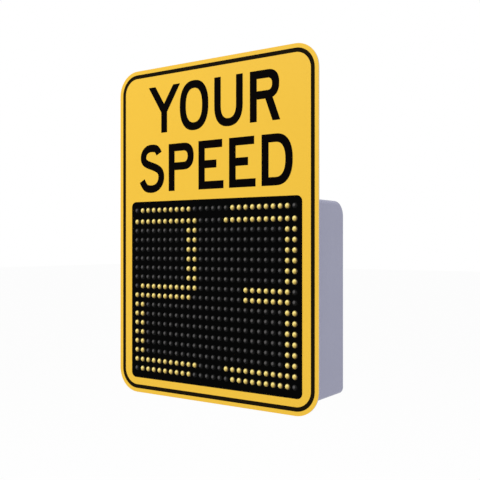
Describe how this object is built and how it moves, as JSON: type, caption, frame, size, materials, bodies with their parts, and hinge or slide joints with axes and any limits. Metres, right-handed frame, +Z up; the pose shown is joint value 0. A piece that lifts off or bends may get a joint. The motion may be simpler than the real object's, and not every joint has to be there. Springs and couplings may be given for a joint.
{
  "type": "radar speed sign",
  "caption": "Post-mounted radar speed feedback sign: tall plate with a dot-matrix window of domed pixels, closed housing behind it and slotted post rails.",
  "frame": {"origin": "centre of the four post slots, on the rear faces of the two mounting rails", "axes": "front faces -Y, +X to the right seen from the front, +Z up"},
  "size_m": [0.762, 0.255, 1.067],
  "materials": {
    "sign_sheeting": "satin",
    "black_mask": "matte",
    "lens_lit": "gloss",
    "lens_dark": "gloss",
    "housing_paint": "satin",
    "galvanised_steel": "satin",
    "plated_steel": "satin",
    "sheet_aluminium": "satin",
    "dark_aluminium": "satin",
    "brass": "satin",
    "circuit_board": "satin",
    "nylon": "matte",
    "foam_rubber": "matte",
    "battery_case": "matte",
    "grey_plastic": "matte",
    "black_plastic": "matte"
  },
  "bodies": {
    "root": {"sign_plate": "sign_sheeting", "flange_studs": "plated_steel", "display_mask": "black_mask", "pixel_lenses_lit": "lens_lit", "pixel_lenses_dark": "lens_dark", "led_boards": "circuit_board", "board_spacers": "nylon", "board_screws": "plated_steel", "tub_gasket": "foam_rubber", "enclosure_tub": "housing_paint", "flange_washers": "plated_steel", "flange_nuts": "plated_steel", "upper_rail": "galvanised_steel", "lower_rail": "galvanised_steel", "rail_bolts": "plated_steel", "rail_washers": "plated_steel", "rail_nuts": "plated_steel", "backing_bars": "galvanised_steel", "chassis_standoffs": "brass", "chassis_plate": "sheet_aluminium", "chassis_screws": "plated_steel", "battery": "battery_case", "battery_tray": "sheet_aluminium", "battery_strap": "galvanised_steel", "deck_screws": "plated_steel", "din_rail": "galvanised_steel", "terminal_block": "grey_plastic", "fuse_holder": "black_plastic", "charge_controller": "dark_aluminium", "controller_board": "circuit_board", "controller_standoffs": "brass", "controller_screws": "plated_steel", "radar_module": "circuit_board", "radar_bracket": "sheet_aluminium", "radar_screws": "plated_steel", "cable_gland": "black_plastic", "gland_dome_nut": "black_plastic", "gland_seal": "foam_rubber", "gland_locknut": "black_plastic", "vent_plugs": "black_plastic", "vent_locknuts": "black_plastic"}
  },
  "joints": []
}
